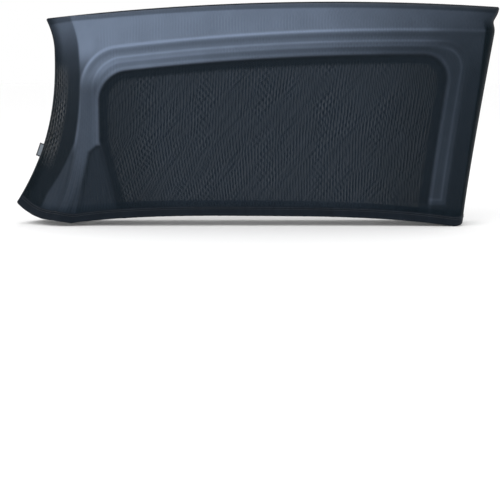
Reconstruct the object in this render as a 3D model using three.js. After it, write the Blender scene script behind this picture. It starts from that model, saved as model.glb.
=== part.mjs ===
// Window sunshade sleeve: a pocket of black see-through knit, open along its lower edge, drawn in
// the stretched form that it has when it is worn. Two panels meet in an overlocked seam along the
// left, top and right. Each panel is folded back round the mouth as a hem, and one elastic band
// runs inside the hem all the way round.
// Millimetres, +Z up, +X to the right and +Y from the cabin side to the street side.
import * as THREE from 'three';

// Outline of the sleeve, seen from the cabin side
const MOUTH_WIDTH = 910;
const TOP_WIDTH = 893;
const TOP_LEAN = 66;              // the top seam's middle lies this far to the right of the mouth's
const RIGHT_HEIGHT = 431;         // right seam, mouth to top corner
const LEFT_HEIGHT = 368;
const LEFT_FOOT_RISE = 41;        // the left seam's foot is drawn up this far
const TOP_BOW = 20;               // arch of the top seam
const LEFT_FLARE = 14;            // the top left corner stands out from the waist below it
const LEFT_WAIST = 0.165;         // share of the way down to that waist
const LEFT_SWEEP = 2.3;           // how late the left seam swings out to its foot
const RIGHT_SWEEP = 1.15;
const RIGHT_PINCH = 6;            // nip in the right seam, just under the top corner
const PINCH_DROP = 0.06;          // share of the way down to the nip
const PINCH_SPREAD = 0.028;

// Lower edge of the mouth
const MOUTH_ARCH = 18;            // rise of the mouth's edge between its two corners
const MOUTH_TILT = 6;             // the left corner of the mouth is this much higher
const LEFT_CORNER_IN = 37;        // the mouth's lowest left point, in from the fold
const RIGHT_CORNER_IN = 7;
const CORNER_SLOPE = 0.16;        // climb of the edge outside those corners
const FOOT_CURVE = 2.3;           // how suddenly the edge climbs to the left seam

// Depth, from the cabin-side face backwards
const SEAM_DEPTH_TOP = 24;
const SEAM_DEPTH_FOOT = 50;
const BACK_DEPTH_TOP = 50;
const BACK_DEPTH_FOOT = 110;
const BACK_BELLY = 8;             // outward bow of the street-side panel

// Side walls, as wide as they look from the cabin side
const INNER_LEFT_TOP = 46;
const INNER_LEFT_FOOT = 80;
const INNER_LEFT_SPREAD = 1.5;    // how late the wall widens from one to the other
const INNER_RIGHT = 16;
const OUTER_LEFT_TOP = 34;
const OUTER_LEFT_FOOT = 40;
const OUTER_RIGHT = 22;
const ROLL = 12;                  // turned edge along the top
const WALL_SOFTNESS = 0.18;       // rounding where the left wall leaves the face

// Relief that the stretched cabin-side panel takes
const RECESS = 9;                 // the middle lies this far behind its border
const RECESS_SLOPE = 14;
const RECESS_LEFT_IN = 175;       // left edge of the recess, in from the left foot
const RECESS_RIGHT_IN = 79;       // right edge, in from the right seam
const BORDER_LEFT = 120;          // width of the top border at its left end
const BORDER_RIGHT = 94;
const RECESS_CORNER = 54;
const STEP_OUT = 24;              // a shallow step runs round the recess, this far above it
const STEP_LEFT = 8;
const STEP_RIGHT = 34;
const STEP_FALL = 3;
const CREASE_OUT = 48;            // an outer crease lies above the step
const CREASE_CORNER = 76;
const CREASE_FALL = 4;
const CREASE_SLOPE = 12;
const RECESS_FOOT = 24;           // the recess ends this far above the hem
const BORDER_LEAST = 20;          // least border between the left fold and the recess
const LOW_FROM = 0.62;            // share of the way down where the lower left shapes begin
const CORNER_FACET_TOP = 160;     // flat corner facet beside the recess, height over the mouth
const CORNER_FACET_LEAN = 38;     // how far its edge on the recess leans in
const CORNER_FACET_FOOT = 88;     // its width along the hem
const CORNER_FACET_TIP = 16;
const CORNER_FACET_FALL = 4;
const FOOT_RIDGE = 3;             // ridge in the cloth that runs down to the left foot
const FOOT_RIDGE_IN = 30;
const FOOT_RIDGE_SPREAD = 11;

// Cloth, hem, elastic and seam
const CLOTH = 0.8;
const CLEARANCE = 0.4;
const HEM = 18;
const HEM_CLOSE = 3;              // height over which the turned-up cloth closes on the panel
const ELASTIC_WIDTH = 10;
const ELASTIC_THICK = 1.2;
const ELASTIC_ROOM = 0.6;         // to the cloth on each of its faces
const SEAM_RADIUS = 1.5;
const SEAM_SIDES = 6;
const MITRE = 1.2;                // the turned-up cloth stops this much short at the seam

// Bare sewn-in loop label on the left seam
const LABEL_RISE = 94;           // its lower end, over the left seam's foot
const LABEL_LENGTH = 28;
const LABEL_REACH = 9;
const LABEL_CLOTH = 0.6;
const LABEL_GAP = 0.5;

// Number of grid cells in each stretch of a panel
const LEFT_WALL_CELLS = 6;
const LEFT_BORDER_CELLS = 3;
const MIDDLE_CELLS = 16;
const RIGHT_BORDER_CELLS = 4;
const RIGHT_WALL_CELLS = 5;
const ROLL_CELLS = 4;
const TOP_BORDER_CELLS = 5;
const BODY_CELLS = 8;
const HEM_CELLS = 1;
const TURN_CELLS = 4;
const TURN_UP_CELLS = 1;

const mix = (a, b, t) => a + (b - a) * t;
const ease = (t) => THREE.MathUtils.smootherstep(t, 0, 1);
const { clamp } = THREE.MathUtils;

// Lines that run down the sleeve; v is 0 at the top seam and 1 at the mouth
const leftTop = TOP_LEAN - TOP_WIDTH / 2;
const leftFoot = -MOUTH_WIDTH / 2;
const rightTop = TOP_LEAN + TOP_WIDTH / 2;
const rightFoot = MOUTH_WIDTH / 2;

function leftSeamX(v) {
  const waist = leftTop + LEFT_FLARE;
  if (v < LEFT_WAIST) return waist - LEFT_FLARE * ((LEFT_WAIST - v) / LEFT_WAIST) ** 2;
  return waist + (leftFoot - waist) * ((v - LEFT_WAIST) / (1 - LEFT_WAIST)) ** LEFT_SWEEP;
}

function rightSeamX(v) {
  const nip = RIGHT_PINCH * Math.exp(-(((v - PINCH_DROP) / PINCH_SPREAD) ** 2));
  return rightFoot + (rightTop - rightFoot) * (1 - v) ** RIGHT_SWEEP - nip;
}

const lowShare = (v) => clamp((v - LOW_FROM) / (1 - LOW_FROM), 0, 1);
const recessLeftX = (v) => {
  return leftFoot + RECESS_LEFT_IN + CORNER_FACET_LEAN * lowShare(v);
};
const recessRightX = (v) => rightSeamX(v) - RECESS_RIGHT_IN;
const seamY = (v) => mix(SEAM_DEPTH_TOP, SEAM_DEPTH_FOOT, v);
const backY = (v) => mix(BACK_DEPTH_TOP, BACK_DEPTH_FOOT, v);

// Lines that run across the sleeve; u is 0 at the left seam and 1 at the right one
const topZ = (u) => mix(LEFT_FOOT_RISE + LEFT_HEIGHT, RIGHT_HEIGHT, u) + TOP_BOW * 4 * u * (1 - u);
const recessTopZ = (u) => topZ(u) - mix(BORDER_LEFT, BORDER_RIGHT, u);

function faceMouthZ(x, leftFold, rightFold) {
  const left = leftFold + LEFT_CORNER_IN;
  const right = rightFold - RIGHT_CORNER_IN;
  const t = (2 * x - left - right) / (right - left);
  const beyond = Math.max(0, Math.abs(t) - 1) * (right - left) / 2;
  const arch = MOUTH_ARCH * (1 - Math.min(1, Math.abs(t)) ** 3);
  return mix(MOUTH_TILT, 0, (clamp(t, -1, 1) + 1) / 2) + arch + CORNER_SLOPE * beyond;
}

// The two panels share the seam and differ in their walls and in how deep their faces lie
const INNER = {
  street: false,
  leftWall: (v) => mix(INNER_LEFT_TOP, INNER_LEFT_FOOT, clamp(v, 0, 1) ** INNER_LEFT_SPREAD),
  rightWall: INNER_RIGHT,
};
const OUTER = {
  street: true,
  leftWall: (v) => mix(OUTER_LEFT_TOP, OUTER_LEFT_FOOT, v),
  rightWall: OUTER_RIGHT,
};

// A soft left wall is nearly straight; the right wall and the top roll are quarter ellipses
const softRise = (a) => (Math.hypot(a, WALL_SOFTNESS) - WALL_SOFTNESS)
  / (Math.hypot(1, WALL_SOFTNESS) - WALL_SOFTNESS);

// Columns of a panel from the left seam to the right one. Each has its place across at any v
// and the share of the seam's depth that it has there.
function panelColumns(side) {
  const leftFold = (v) => leftSeamX(v) + side.leftWall(v);
  const rightFold = (v) => rightSeamX(v) - side.rightWall;
  const recessLeft = (v) => Math.max(recessLeftX(v), leftFold(v) + BORDER_LEAST);
  const columns = [];
  for (let i = 0; i < LEFT_WALL_CELLS; i += 1) {
    const a = 1 - i / LEFT_WALL_CELLS;
    columns.push({ x: (v) => leftFold(v) - a * side.leftWall(v), depth: softRise(a), wall: a });
  }
  const stretch = (from, to, cells) => {
    for (let i = 0; i < cells; i += 1) {
      columns.push({ x: (v) => mix(from(v), to(v), i / cells), depth: 0, wall: 0 });
    }
  };
  stretch(leftFold, recessLeft, LEFT_BORDER_CELLS);
  stretch(recessLeft, recessRightX, MIDDLE_CELLS);
  stretch(recessRightX, rightFold, RIGHT_BORDER_CELLS);
  for (let i = 0; i <= RIGHT_WALL_CELLS; i += 1) {
    const turn = (i / RIGHT_WALL_CELLS) * Math.PI / 2;
    columns.push({
      x: (v) => rightFold(v) + side.rightWall * Math.sin(turn),
      depth: 1 - Math.cos(turn),
      wall: 0,
    });
  }
  const width = rightSeamX(0.5) - leftSeamX(0.5);
  for (const column of columns) {
    column.u = clamp((column.x(0.5) - leftSeamX(0.5)) / width, 0, 1);
    const flat = faceMouthZ(Math.max(column.x(1), leftFold(1)), leftFold(1), rightFold(1));
    column.mouthZ = mix(flat, LEFT_FOOT_RISE, column.wall ** FOOT_CURVE);
  }
  return columns;
}

// Rows of a panel from the top seam to the mouth, each with its height in any column
function panelRows() {
  const hemTop = (c) => c.mouthZ + HEM;
  const roll = (c) => topZ(c.u) - ROLL;
  const rows = [];
  for (let j = 0; j < ROLL_CELLS; j += 1) {
    const turn = (j / ROLL_CELLS) * Math.PI / 2;
    rows.push({ z: (c) => mix(topZ(c.u), roll(c), 1 - Math.cos(turn)), depth: 1 - Math.sin(turn) });
  }
  const stretch = (from, to, cells) => {
    for (let j = 0; j < cells; j += 1) {
      rows.push({ z: (c) => mix(from(c), to(c), j / cells), depth: 0 });
    }
  };
  stretch(roll, (c) => recessTopZ(c.u), TOP_BORDER_CELLS);
  stretch((c) => recessTopZ(c.u), hemTop, BODY_CELLS);
  stretch(hemTop, (c) => c.mouthZ, HEM_CELLS);
  rows.push({ z: (c) => c.mouthZ, depth: 0 });
  return rows;
}

// Distance inside a corner of two edges that is rounded to a radius
function roundedInside(a, b, radius) {
  const corner = Math.hypot(Math.max(radius - a, 0), Math.max(radius - b, 0));
  return Math.min(Math.min(a, b), radius) < radius && a < radius && b < radius
    ? radius - corner
    : Math.min(a, b);
}

const rise = (distance, slope) => ease(clamp(0.5 + distance / slope, 0, 1));

// How far the cabin-side panel lies behind its own face at a place on it
function relief(x, z, u, v) {
  const left = x - recessLeftX(v);
  const right = recessRightX(v) - x;
  const top = recessTopZ(u) - z;
  const bottom = z - HEM - RECESS_FOOT;
  const upper = Math.min(
    roundedInside(left, top, RECESS_CORNER),
    roundedInside(right, top, RECESS_CORNER),
  );
  const step = Math.min(
    roundedInside(left + STEP_LEFT, top + STEP_OUT, RECESS_CORNER),
    roundedInside(right + STEP_RIGHT, top + STEP_OUT, RECESS_CORNER),
  );
  const fold = x - leftSeamX(v) - INNER.leftWall(v);
  const crease = roundedInside(fold, top + CREASE_OUT, CREASE_CORNER);
  const facetLeft = left + mix(CORNER_FACET_TIP, CORNER_FACET_FOOT, lowShare(v));
  const facet = Math.min(facetLeft, -left, CORNER_FACET_TOP - z);
  const ridge = (facetLeft + FOOT_RIDGE_IN * lowShare(v)) / FOOT_RIDGE_SPREAD;
  return RECESS * rise(Math.min(upper, bottom), RECESS_SLOPE)
    + STEP_FALL * rise(Math.min(step, bottom), CREASE_SLOPE)
    + CREASE_FALL * (1 - rise(crease, CREASE_SLOPE))
    + CORNER_FACET_FALL * rise(facet, CREASE_SLOPE)
    - FOOT_RIDGE * ease(lowShare(v)) * Math.exp(-(ridge ** 2));
}

// Middle surface of a panel down to the mouth, as rows of points. At the seam the two panels
// lie one on each side of it.
const PLY = CLOTH / 2 + CLEARANCE;

function panelSurface(side) {
  const columns = panelColumns(side);
  return panelRows().map((row) => columns.map((column) => {
    const z = row.z(column);
    const v = (topZ(column.u) - z) / (topZ(column.u) - column.mouthZ);
    const x = column.x(v);
    const edge = 1 - (1 - column.depth) * (1 - row.depth);
    const face = Math.sin(Math.PI * column.u) * Math.sin(Math.PI * Math.min(1, 0.15 + 0.7 * v));
    const y = side.street
      ? mix(backY(v) + BACK_BELLY * face, seamY(v) + PLY, edge)
      : mix(relief(x, z, column.u, v), seamY(v) - PLY, edge);
    return new THREE.Vector3(x, y, z);
  }));
}

// The seam runs up the left edge, along the top and down the right edge, between the panels
function seamLine(surface, ply) {
  const left = surface.map((row) => row[0]).reverse();
  const right = surface.map((row) => row.at(-1));
  const line = [...left, ...surface[0].slice(1, -1), ...right];
  return line.map((point) => new THREE.Vector3(point.x, point.y + ply, point.z));
}

function outwardAlong(line, index) {
  const before = line[Math.max(index - 1, 0)];
  const after = line[Math.min(index + 1, line.length - 1)];
  const here = line[index];
  const normalOf = (from, to) => new THREE.Vector3(from.z - to.z, 0, to.x - from.x).normalize();
  const first = index > 0 ? normalOf(before, here) : normalOf(here, after);
  const second = index < line.length - 1 ? normalOf(here, after) : first;
  const middle = first.clone().add(second).normalize();
  return middle.multiplyScalar(1 / Math.max(middle.dot(first), 0.6));
}

const SEAM_OUT = SEAM_RADIUS - CLOTH / 2;

// Draws a panel's border back from the seam, so that its cut edge lies beside the seam's thread
function trimToSeam(surface, ply) {
  const line = seamLine(surface, ply);
  const outward = line.map((_, index) => outwardAlong(line, index));
  const last = surface.length - 1;
  const lastColumn = surface[0].length - 1;
  const seamIndex = (row, column) => {
    if (column === 0) return last - row;
    if (column === lastColumn) return last + lastColumn + row;
    return last + column;
  };
  return surface.map((points, row) => points.map((point, column) => {
    const atSide = column === 0 || column === lastColumn;
    if (!atSide && row > 0) return point.clone();
    const nextColumn = column === 0 ? 1 : column === lastColumn ? lastColumn - 1 : column;
    const next = surface[row === 0 ? 1 : row][nextColumn];
    const into = next.clone().sub(point).normalize();
    const index = seamIndex(row, column);
    const centre = line[index].clone().addScaledVector(outward[index], SEAM_OUT);
    const reach = (SEAM_RADIUS + CLEARANCE + CLOTH / 2) * outward[index].length();
    const offset = point.clone().sub(centre);
    const along = into.dot(offset);
    const far = -along + Math.sqrt(Math.max(along ** 2 - offset.lengthSq() + reach ** 2, 0));
    return point.clone().addScaledVector(into, far);
  }));
}

function gridNormals(surface, facing) {
  const rows = surface.length;
  const columns = surface[0].length;
  return surface.map((points, j) => points.map((point, i) => {
    const across = surface[j][Math.min(i + 1, columns - 1)].clone()
      .sub(surface[j][Math.max(i - 1, 0)]);
    const down = surface[Math.min(j + 1, rows - 1)][i].clone()
      .sub(surface[Math.max(j - 1, 0)][i]);
    return across.cross(down).normalize().multiplyScalar(facing);
  }));
}

// Hem: the cloth turns up inside the sleeve, round the elastic
const CHANNEL = ELASTIC_THICK + 2 * ELASTIC_ROOM;
const TURN_RADIUS = (CHANNEL + CLOTH) / 2;

function addHem(surface, facing) {
  const inward = gridNormals(surface, facing).at(-1);
  const mouth = surface.at(-1);
  const above = surface.at(-2);
  const lastColumn = mouth.length - 1;
  const down = mouth.map((point, i) => point.clone().sub(above[i]).normalize());
  const place = (i, depth, drop) => {
    const point = mouth[i].clone()
      .addScaledVector(inward[i], depth)
      .addScaledVector(down[i], drop);
    if (i > 0 && i < lastColumn) return point;
    const next = mouth[i === 0 ? 1 : lastColumn - 1];
    return point.addScaledVector(next.clone().sub(mouth[i]).normalize(), depth * MITRE);
  };
  const hem = [];
  const turned = (depth, drop) => hem.push(mouth.map((point, i) => place(i, depth, drop)));
  for (let k = 1; k <= TURN_CELLS; k += 1) {
    const turn = (k / TURN_CELLS) * Math.PI;
    turned(TURN_RADIUS * (1 - Math.cos(turn)), TURN_RADIUS * Math.sin(turn));
  }
  for (let k = 1; k <= TURN_UP_CELLS; k += 1) {
    turned(2 * TURN_RADIUS, -(HEM - HEM_CLOSE) * k / TURN_UP_CELLS);
  }
  turned(CLOTH + CLEARANCE, -HEM);
  return { rows: [...surface, ...hem], inward, down, mouth, place };
}

// Closed shell of one cloth thickness about a middle surface
function clothShell(surface, facing) {
  const rows = surface.length;
  const columns = surface[0].length;
  const normals = gridNormals(surface, facing);
  const positions = [];
  for (const offset of [-CLOTH / 2, CLOTH / 2]) {
    surface.forEach((points, j) => points.forEach((point, i) => {
      positions.push(...point.clone().addScaledVector(normals[j][i], offset).toArray());
    }));
  }
  const layer = rows * columns;
  const at = (j, i, side) => j * columns + i + side * layer;
  const index = [];
  const quad = (a, b, c, d) => {
    if (facing > 0) index.push(a, b, c, a, c, d);
    else index.push(a, c, b, a, d, c);
  };
  for (let j = 0; j < rows - 1; j += 1) {
    for (let i = 0; i < columns - 1; i += 1) {
      quad(at(j, i, 1), at(j, i + 1, 1), at(j + 1, i + 1, 1), at(j + 1, i, 1));
      quad(at(j, i, 0), at(j + 1, i, 0), at(j + 1, i + 1, 0), at(j, i + 1, 0));
    }
  }
  const rim = (j0, i0, j1, i1) => {
    quad(at(j0, i0, 0), at(j1, i1, 0), at(j1, i1, 1), at(j0, i0, 1));
  };
  for (let i = 0; i < columns - 1; i += 1) {
    rim(0, i, 0, i + 1);
    rim(rows - 1, i + 1, rows - 1, i);
  }
  for (let j = 0; j < rows - 1; j += 1) {
    rim(j + 1, 0, j, 0);
    rim(j, columns - 1, j + 1, columns - 1);
  }
  const geometry = new THREE.BufferGeometry();
  geometry.setAttribute('position', new THREE.Float32BufferAttribute(positions, 3));
  geometry.setIndex(index);
  return geometry;
}

// Solid swept through rings of points; a loop joins its last ring to its first
function sweep(rings, isLoop) {
  const sides = rings[0].length;
  const positions = rings.flat().flatMap((point) => point.toArray());
  const index = [];
  const count = isLoop ? rings.length : rings.length - 1;
  for (let k = 0; k < count; k += 1) {
    const next = (k + 1) % rings.length;
    for (let s = 0; s < sides; s += 1) {
      const t = (s + 1) % sides;
      index.push(k * sides + s, k * sides + t, next * sides + t);
      index.push(k * sides + s, next * sides + t, next * sides + s);
    }
  }
  if (!isLoop) {
    const end = (rings.length - 1) * sides;
    for (let s = 1; s < sides - 1; s += 1) {
      index.push(0, s + 1, s);
      index.push(end, end + s, end + s + 1);
    }
  }
  const geometry = new THREE.BufferGeometry();
  geometry.setAttribute('position', new THREE.Float32BufferAttribute(positions, 3));
  geometry.setIndex(index);
  return geometry;
}

function seamThread(line) {
  return sweep(line.map((point, index) => {
    const outward = outwardAlong(line, index);
    return Array.from({ length: SEAM_SIDES }, (_, s) => {
      const turn = (2 * Math.PI * s) / SEAM_SIDES;
      return point.clone()
        .addScaledVector(outward, SEAM_OUT + SEAM_RADIUS * Math.cos(turn))
        .add(new THREE.Vector3(0, -SEAM_RADIUS * Math.sin(turn), 0));
    });
  }), false);
}

// The elastic follows both hems and lies in the middle of their channel
function elasticBand(innerHem, outerHem) {
  const low = -(HEM - HEM_CLOSE - ELASTIC_WIDTH) / 2;
  const high = low - ELASTIC_WIDTH;
  const near = TURN_RADIUS - ELASTIC_THICK / 2;
  const far = TURN_RADIUS + ELASTIC_THICK / 2;
  const ring = (hem, i) => [
    hem.place(i, near, low),
    hem.place(i, far, low),
    hem.place(i, far, high),
    hem.place(i, near, high),
  ];
  const inner = innerHem.mouth.map((_, i) => ring(innerHem, i));
  const outer = outerHem.mouth.map((_, i) => ring(outerHem, i)).reverse();
  return sweep([...inner, ...outer], true);
}

// Place on the seam at a height above its left foot
function onLeftSeam(line, height) {
  const above = line.findIndex((point) => point.z > line[0].z + height);
  const from = line[above - 1];
  const share = (line[0].z + height - from.z) / (line[above].z - from.z);
  return from.clone().lerp(line[above], share);
}

// Ribbon folded once, its two ends against the seam and clear of the seam's own curve
function loopLabel(line) {
  const low = onLeftSeam(line, LABEL_RISE);
  const along = onLeftSeam(line, LABEL_RISE + LABEL_LENGTH).sub(low).normalize();
  const depthwise = new THREE.Vector3(0, -1, 0).addScaledVector(along, along.y).normalize();
  const outward = depthwise.clone().cross(along);
  const steps = [0.25, 0.5, 0.75].map((share) => onLeftSeam(line, LABEL_RISE + share * LABEL_LENGTH));
  const bulge = Math.max(0, ...steps.map((point) => point.sub(low).dot(outward)));
  const half = LABEL_GAP / 2 + LABEL_CLOTH;
  const shape = new THREE.Shape();
  shape.moveTo(0, -half);
  shape.lineTo(LABEL_REACH - half, -half);
  shape.absarc(LABEL_REACH - half, 0, half, -Math.PI / 2, Math.PI / 2, false);
  shape.lineTo(0, half);
  shape.lineTo(0, LABEL_GAP / 2);
  shape.lineTo(LABEL_REACH - half, LABEL_GAP / 2);
  shape.absarc(LABEL_REACH - half, 0, LABEL_GAP / 2, Math.PI / 2, -Math.PI / 2, true);
  shape.lineTo(0, -LABEL_GAP / 2);
  shape.closePath();
  const geometry = new THREE.ExtrudeGeometry(shape, {
    depth: LABEL_LENGTH, bevelEnabled: false, curveSegments: 4,
  });
  const root = low.addScaledVector(outward, SEAM_OUT + SEAM_RADIUS + CLEARANCE + bulge);
  const basis = new THREE.Matrix4().makeBasis(outward, depthwise, along);
  geometry.applyMatrix4(basis.setPosition(root));
  return geometry;
}

const knit = (color, opacity) => new THREE.MeshStandardMaterial({
  color, roughness: 0.85, metalness: 0, transparent: true, opacity,
});
const solid = (color) => new THREE.MeshStandardMaterial({ color, roughness: 0.8, metalness: 0 });

const innerSurface = panelSurface(INNER);
const innerHem = addHem(trimToSeam(innerSurface, PLY), 1);
const outerHem = addHem(trimToSeam(panelSurface(OUTER), -PLY), -1);
const seam = seamLine(innerSurface, PLY);
const pieces = [
  ['inner_mesh_panel', clothShell(innerHem.rows, 1), knit('#2b333d', 0.82)],
  ['outer_mesh_panel', clothShell(outerHem.rows, -1), knit('#272e36', 0.82)],
  ['edge_seam', seamThread(seam), solid('#14181d')],
  ['hem_elastic', elasticBand(innerHem, outerHem), solid('#1a1d21')],
  ['seam_label', loopLabel(seam), solid('#1c2127')],
];

// The origin is the middle of the footprint, at the lowest point
const bounds = new THREE.Box3();
for (const [, geometry] of pieces) {
  geometry.computeBoundingBox();
  bounds.union(geometry.boundingBox);
}
const middle = bounds.getCenter(new THREE.Vector3());

const group = new THREE.Group();
for (const [name, geometry, material] of pieces) {
  geometry.translate(-middle.x, -middle.y, -bounds.min.z);
  const mesh = new THREE.Mesh(geometry, material);
  mesh.name = name;
  group.add(mesh);
}

export default group;
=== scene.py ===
# Window sunshade sleeve of black see-through knit, worn and stretched, dressed around its model.
# Sizes are millimetres unless a name says otherwise, and they repeat the model's own.
import math

import bpy
import numpy as np
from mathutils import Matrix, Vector


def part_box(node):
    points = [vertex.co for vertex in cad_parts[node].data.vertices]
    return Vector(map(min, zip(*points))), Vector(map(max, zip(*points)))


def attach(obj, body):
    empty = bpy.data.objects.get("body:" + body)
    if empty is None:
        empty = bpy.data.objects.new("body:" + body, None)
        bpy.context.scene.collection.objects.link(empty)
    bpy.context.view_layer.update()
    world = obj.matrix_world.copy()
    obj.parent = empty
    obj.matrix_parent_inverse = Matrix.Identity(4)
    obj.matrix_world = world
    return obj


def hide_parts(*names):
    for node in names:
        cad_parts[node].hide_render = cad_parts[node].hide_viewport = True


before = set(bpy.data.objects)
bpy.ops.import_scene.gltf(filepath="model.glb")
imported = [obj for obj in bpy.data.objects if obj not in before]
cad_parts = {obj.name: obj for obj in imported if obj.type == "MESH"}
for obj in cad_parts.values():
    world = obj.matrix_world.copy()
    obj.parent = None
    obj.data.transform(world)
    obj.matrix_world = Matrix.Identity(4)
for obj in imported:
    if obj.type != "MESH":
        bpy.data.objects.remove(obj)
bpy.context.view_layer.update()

MM = 0.001

# Outline of the sleeve, as in the model
MOUTH_WIDTH = 910
TOP_WIDTH = 893
TOP_LEAN = 66
RIGHT_HEIGHT = 431
LEFT_HEIGHT = 368
LEFT_FOOT_RISE = 41
TOP_BOW = 20
LEFT_FLARE = 14
LEFT_WAIST = 0.165
LEFT_SWEEP = 2.3
RIGHT_SWEEP = 1.15
RIGHT_PINCH = 6
PINCH_DROP = 0.06
PINCH_SPREAD = 0.028
MOUTH_ARCH = 18
MOUTH_TILT = 6
LEFT_CORNER_IN = 37
RIGHT_CORNER_IN = 7
CORNER_SLOPE = 0.16
FOOT_CURVE = 2.3

# Depths and walls
SEAM_DEPTH_TOP = 24
SEAM_DEPTH_FOOT = 50
BACK_DEPTH_TOP = 50
BACK_DEPTH_FOOT = 110
BACK_BELLY = 8
INNER_LEFT_TOP = 46
INNER_LEFT_FOOT = 80
INNER_LEFT_SPREAD = 1.5
INNER_RIGHT = 16
OUTER_LEFT_TOP = 34
OUTER_LEFT_FOOT = 40
OUTER_RIGHT = 22
ROLL = 12
WALL_SOFTNESS = 0.18

# Relief of the cabin-side panel
RECESS = 9
RECESS_SLOPE = 14
RECESS_LEFT_IN = 175
RECESS_RIGHT_IN = 79
BORDER_LEFT = 120
BORDER_RIGHT = 94
RECESS_CORNER = 54
STEP_OUT = 24
STEP_LEFT = 8
STEP_RIGHT = 34
STEP_FALL = 3
CREASE_OUT = 48
CREASE_CORNER = 76
CREASE_FALL = 4
CREASE_SLOPE = 12
RECESS_FOOT = 24
BORDER_LEAST = 20
LOW_FROM = 0.62
CORNER_FACET_TOP = 160
CORNER_FACET_LEAN = 38
CORNER_FACET_FOOT = 88
CORNER_FACET_TIP = 16
CORNER_FACET_FALL = 4
FOOT_RIDGE = 3
FOOT_RIDGE_IN = 30
FOOT_RIDGE_SPREAD = 11

# Cloth, hem, elastic, seam and label
CLOTH = 0.8
CLEARANCE = 0.4
PLY = CLOTH / 2 + CLEARANCE
HEM = 18
ELASTIC_WIDTH = 10
ELASTIC_THICK = 1.2
ELASTIC_ROOM = 0.6
TURN_RADIUS = (ELASTIC_THICK + 2 * ELASTIC_ROOM + CLOTH) / 2
SEAM_RADIUS = 1.5
SEAM_OUT = SEAM_RADIUS - CLOTH / 2
LABEL_RISE = 94
LABEL_LENGTH = 28
LABEL_REACH = 9
LABEL_CLOTH = 0.6

# Fine shapes that only the dressed sleeve has
FACET_CHAMFER = 9            # the corner facet's tip is cut across
FACET_CUT_SLOPE = 0.7
PUCKER = 0.9                 # gathers that the elastic draws up over the hem
PUCKER_PITCH = 19
PUCKER_SECOND_PITCH = 11.3
CABIN_PUCKER_SHIFT = 7       # so that the two panels' gathers don't face each other
PUCKER_FADE = 30
HEM_PROUD = 0.5
ELASTIC_LIFT = 0.8           # the band lies this far above the turn of the hem
ELASTIC_TURN = 4             # and turns back this far short of each seam
ELASTIC_RIB = 4              # real ribs are about 1 mm apart, drawn coarse to be seen
ELASTIC_RIB_DEPTH = 0.12
ELASTIC_STEP = 1
ELASTIC_CORNER = 0.35        # lower is squarer
ELASTIC_SIDES = 14
LABEL_HALF = 0.9
LABEL_SELVEDGE = 2.2
STITCH_PITCH = 4.4
STITCH_LENGTH = 3.2
STITCH_THREAD = 0.5
STITCH_ROWS = (2.2, 5.6)     # below the hem's top
STITCH_PROUD = 0.55          # the thread's middle stands this far off the cloth's face
THREAD_TURN = 3.4            # along the seam, one turn of the overlock thread
THREAD_RELIEF = 0.28
THREAD_STEP = 1.1
THREAD_SIDES = 10

# Greys painted on the knit, from 0 to 255, at shares of the way across or down the sleeve: mostly
# painted light and shade
KNIT_DARK = "#020d14"
# the dark colour is the thread's own black; the pale one is the end used for painted highlights and the
# painted pale border
KNIT_PAINTED_PALE = "#74839a"
# border greys: painted light towards the upper left and painted shade towards the right
TOP_GREYS = ((0.00, 84), (0.07, 116), (0.30, 108), (0.60, 98), (0.80, 70), (0.93, 54), (1.00, 34))
LEFT_GREYS = ((0.25, 62), (0.65, 64), (0.80, 54), (0.95, 46))
RIGHT_GREYS = ((0.00, 48), (0.30, 31), (1.00, 24))
BAND_SHARES = (0.91, 0.79)   # painted shade between crease and step, at the left and at the right end
SHELF_SHARES = (1.03, 0.80)  # painted shade just inside the step, slightly paler at the left
RIM_SHARES = (0.88, 0.52)    # painted shade along the recess
RIGHT_STRIP_LIFT = (0.88, 1.85)   # how much paler the cloth is painted beside the recess, top and foot
RIGHT_STRIP_MOST = 1.65
CREASE_PAINTED_HIGHLIGHT = 0.30          # painted highlight along the crests of the tight folds
CREST_WIDTH = 2.6
CREASE_PAINTED_SHADE = 0.14          # painted shade below the upper fold
RECESS_PAINTED_HIGHLIGHT = 0.26          # painted highlight where the cloth turns down into the recess
# painted shade on the turned walls: darker down the left wall, near black where the cloth turns at the
# right
WALL_GREYS = ((0.00, 84), (0.06, 76), (0.13, 60), (0.20, 44), (0.30, 32), (0.50, 26), (0.70, 22))
RIGHT_WALL_GREY = 6
RIGHT_EDGE = ((0.05, 22), (0.35, 15), (1.00, 12))     # width of the painted shade where the cloth turns at the right
# painted dark over the recess, with painted shade at its sides, to the right and in a rim along its
# edge
WINDOW_GREY = 37
WINDOW_SIDE_GREY = 29
WINDOW_RIGHT_PAINTED_SHADE = 0.14
RIM_GREY = 25
RIM_WIDTH = 18
# the corner facet is painted dark, with painted shade along its edges
FACET_GREY = 35
FACET_EDGE_PAINTED_SHADE = 0.30
FLANK_GREY = 46              # painted shade on the slanting cloth between the left wall and its fold
TURNED_EDGE = 8
TURNED_PAINTED_SHADE = 0.30          # painted shade along the rolled edge at the top
STREET_GREY = 44
STREET_SIDE_GREY = 54
# how far in from the left seam the painted shade of the wall reaches, down the sleeve
WALL_EDGE = ((0.00, 46), (0.40, 54), (0.62, 58), (0.75, 50), (0.88, 40), (1.00, 42))
OPEN_BY_GREY = ((20, 0.02), (60, 0.06), (110, 0.17))
WINDOW_OPEN = 0.08
STRIP_WIDTH = 27
STRIP_OPEN = 0.15
STREET_OPEN = 0.11
STREET_STRIP_OPEN = 0.16
HOLE_CONTRAST = 0.9
LINE_CONTRAST = 0.7
LINE_TINT = 0.34
HOLE_TINT = 0.10
HEM_RIB = 2.6
ELASTIC_WARP = 1.4
LABEL_TWILL = 0.9
WALE_DRIFT = 7               # mm that the wales wander sideways
DRIFT_LENGTH = 120
PATCH_LENGTH = 70            # the lines come and go over about this length

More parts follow.
